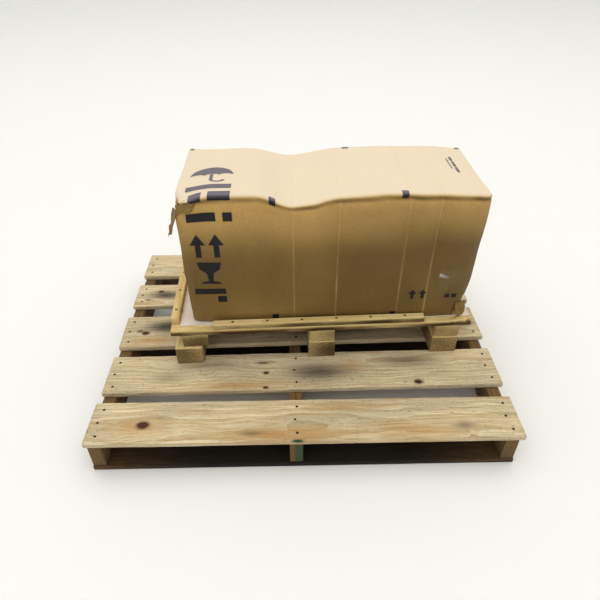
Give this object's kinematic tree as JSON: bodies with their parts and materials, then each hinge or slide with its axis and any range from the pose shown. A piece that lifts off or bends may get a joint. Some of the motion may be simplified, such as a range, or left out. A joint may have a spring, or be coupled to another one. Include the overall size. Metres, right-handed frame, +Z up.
{
  "type": "air circuit breaker packed on a pallet",
  "caption": "Large air circuit breaker as delivered: screwed to a timber skid under a lift-off corrugated carton, on a stringer pallet.",
  "frame": {"origin": "middle of the pallet's underside, on the floor", "axes": "+X along the pallet's deck boards to the right, +Y to the back, +Z up; the carton's printed long side and the breaker's controls face -Y"},
  "size_m": [1.219, 0.94, 0.666],
  "materials": {
    "pallet_wood": "weathered rough-sawn softwood",
    "skid_wood": "new sawn pine",
    "steel_wire": "dull drawn wire with light rust",
    "foam": "thin closed-cell foam",
    "corrugated_board": "brown kraft liner",
    "clear_film": "clear polyethylene film",
    "galvanised_steel": "zinc plated and passivated",
    "case_grey": "fine moulded texture, dark grey",
    "fascia_grey": "satin moulded, mid grey",
    "copper": "bare copper bar",
    "sensor_black": "cast resin",
    "bright_steel": "ground steel",
    "chute_grey": "glass-filled moulding",
    "button_green": "moulded",
    "button_red": "moulded",
    "flag_white": "printed",
    "clear_cover": "clear polycarbonate",
    "spring_steel": "blued"
  },
  "bodies": {
    "pallet": {"bottom_board_1": "pallet_wood", "bottom_board_2": "pallet_wood", "bottom_board_3": "pallet_wood", "deck_board_1": "pallet_wood", "deck_board_2": "pallet_wood", "deck_board_3": "pallet_wood", "deck_board_4": "pallet_wood", "deck_board_5": "pallet_wood", "pallet_nails": "steel_wire", "stringer_left": "pallet_wood", "stringer_middle": "pallet_wood", "stringer_right": "pallet_wood"},
    "skid": {"arc_chutes": "chute_grey", "auxiliary_switch": "sensor_black", "barrier_sheet": "foam", "batten_left": "skid_wood", "charging_handle": "sensor_black", "closing_spring": "spring_steel", "control_terminals": "sensor_black", "current_sensors": "sensor_black", "fascia": "fascia_grey", "foot_screws": "galvanised_steel", "front_cover": "case_grey", "lower_terminals": "copper", "mechanism_frame": "galvanised_steel", "pole_housing": "case_grey", "rail_back": "skid_wood", "rail_front": "skid_wood", "release_coils": "sensor_black", "side_plate_left": "galvanised_steel", "side_plate_right": "galvanised_steel", "skid_bearer_left": "skid_wood", "skid_bearer_middle": "skid_wood", "skid_bearer_right": "skid_wood", "skid_board_1": "skid_wood", "skid_board_2": "skid_wood", "skid_board_3": "skid_wood", "skid_board_4": "skid_wood", "skid_nails": "steel_wire", "skid_runner_left": "skid_wood", "skid_runner_middle": "skid_wood", "skid_runner_right": "skid_wood", "trip_unit": "sensor_black", "trip_unit_cover": "clear_cover", "upper_terminals": "copper"},
    "carton": {"carton_cap": "corrugated_board", "corner_post_front_left": "corrugated_board", "corner_post_front_right": "corrugated_board", "corner_post_back_left": "corrugated_board", "corner_post_back_right": "corrugated_board", "top_pad": "foam", "document_pouch": "clear_film", "carton_staples": "steel_wire"},
    "on_button": {"on_button": "button_green"},
    "off_button": {"off_button": "button_red"},
    "contact_shaft": {"pole_shaft": "bright_steel", "moving_contacts": "copper"},
    "contact_flag": {"contact_flag": "flag_white"},
    "charging_shaft": {"charging_shaft": "bright_steel"},
    "charge_flag": {"charge_flag": "flag_white"}
  },
  "joints": [
    {"name": "skid_lift", "type": "slide", "parent": "pallet", "child": "skid", "axis": [0, 0, 1], "range_m": [0, 0.15]},
    {"name": "carton_lift", "type": "slide", "parent": "skid", "child": "carton", "axis": [0, 0, 1], "range_m": [0, 0.46]},
    {"name": "on_button_press", "type": "slide", "parent": "skid", "child": "on_button", "axis": [-0.0175, 0.9998, 0], "range_m": [0, 0.004], "stiffness_N_per_m": 300, "springref_m": -0.004},
    {"name": "off_button_press", "type": "slide", "parent": "skid", "child": "off_button", "axis": [-0.0175, 0.9998, 0], "range_m": [0, 0.004], "stiffness_N_per_m": 300, "springref_m": -0.004},
    {"name": "contacts_close", "type": "hinge", "parent": "skid", "child": "contact_shaft", "pos_m": [0.08142, 0.09627, 0.394], "axis": [-0.9998, -0.0175, 0], "range_deg": [0, 38]},
    {"name": "contact_flag_turn", "type": "hinge", "parent": "skid", "child": "contact_flag", "pos_m": [0.17206, -0.05418, 0.364], "axis": [-0.9998, -0.0175, 0], "range_deg": [0, 38]},
    {"name": "charging_turn", "type": "hinge", "parent": "skid", "child": "charging_shaft", "pos_m": [0.08334, -0.01372, 0.364], "axis": [0.9998, 0.0175, 0], "range_deg": [0, 180]},
    {"name": "charge_flag_turn", "type": "hinge", "parent": "skid", "child": "charge_flag", "pos_m": [0.17206, -0.05418, 0.497], "axis": [0.9998, 0.0175, 0], "range_deg": [0, 45]}
  ],
  "couplings": [
    {"joint": "contact_flag_turn", "follows": "contacts_close", "ratio": 1},
    {"joint": "charge_flag_turn", "follows": "charging_turn", "ratio": 0.25}
  ]
}
